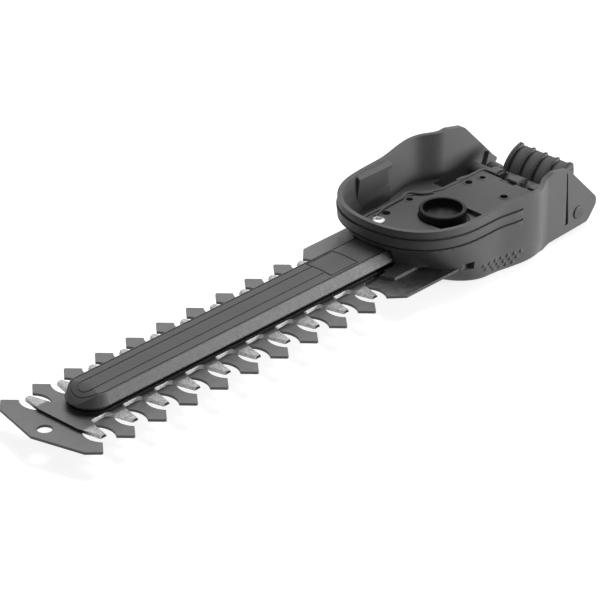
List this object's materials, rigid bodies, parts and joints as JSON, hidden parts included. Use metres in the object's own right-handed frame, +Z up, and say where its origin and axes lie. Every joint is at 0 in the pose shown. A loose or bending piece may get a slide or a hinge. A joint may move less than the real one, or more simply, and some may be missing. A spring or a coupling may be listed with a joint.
{
  "type": "shrub shear blade",
  "caption": "Reciprocating shrub shear blade with toothed steel blades, a plastic rib and a bowl housing that clips onto a hand-held garden machine",
  "frame": {"origin": "on the axis of the drive collar, in the plane of its top rim", "axes": "+X from the blade's tip to the housing's back, +Y across the blade, +Z up out of the bowl"},
  "size_m": [0.3568, 0.085, 0.042],
  "materials": {
    "housing_plastic": "fine moulded grain",
    "cover_plastic": "fine moulded grain",
    "tray_plastic": "smooth moulded",
    "collar_plastic": "smooth black",
    "rib_plastic": "fine moulded grain",
    "lever_plastic": "smooth moulded",
    "fixed_steel": "stamped, oiled",
    "ground_steel": "ground bevels",
    "turned_steel": "turned",
    "screw_steel": "zinc plated",
    "pin_steel": "plain"
  },
  "bodies": {
    "cartridge": {"housing": "housing_plastic", "base_cover": "cover_plastic", "floor_tray": "tray_plastic", "drive_collar": "collar_plastic", "fixed_blade": "fixed_steel", "blade_rib": "rib_plastic", "slide_strip": "collar_plastic", "tray_screws": "screw_steel", "blade_screws": "screw_steel", "cover_screws": "screw_steel", "lever_pin": "pin_steel", "lever_spring": "screw_steel", "guide_bush_1": "turned_steel", "rib_screw_1": "screw_steel", "guide_bush_2": "turned_steel", "rib_screw_2": "screw_steel", "guide_bush_3": "turned_steel", "rib_screw_3": "screw_steel", "guide_bush_4": "turned_steel", "rib_screw_4": "screw_steel"},
    "cutter": {"moving_blade": "ground_steel"},
    "crank": {"crank_disc": "turned_steel"},
    "lever": {"release_lever": "lever_plastic"}
  },
  "joints": [
    {"name": "blade_slide", "type": "slide", "parent": "cartridge", "child": "cutter", "axis": [1, 0, 0], "range_m": [-0.0039, 0.0061]},
    {"name": "crank_turn", "type": "hinge", "parent": "cartridge", "child": "crank", "pos_m": [0, 0, -0.0063], "axis": [0, 0, 1], "continuous": true},
    {"name": "lever_press", "type": "hinge", "parent": "cartridge", "child": "lever", "pos_m": [0.061, 0, -0.0127], "axis": [0, 1, 0], "range_deg": [0, 18], "stiffness_Nm_per_rad": 0.2, "springref_deg": -17.19, "deforming": ["lever_spring"]}
  ]
}
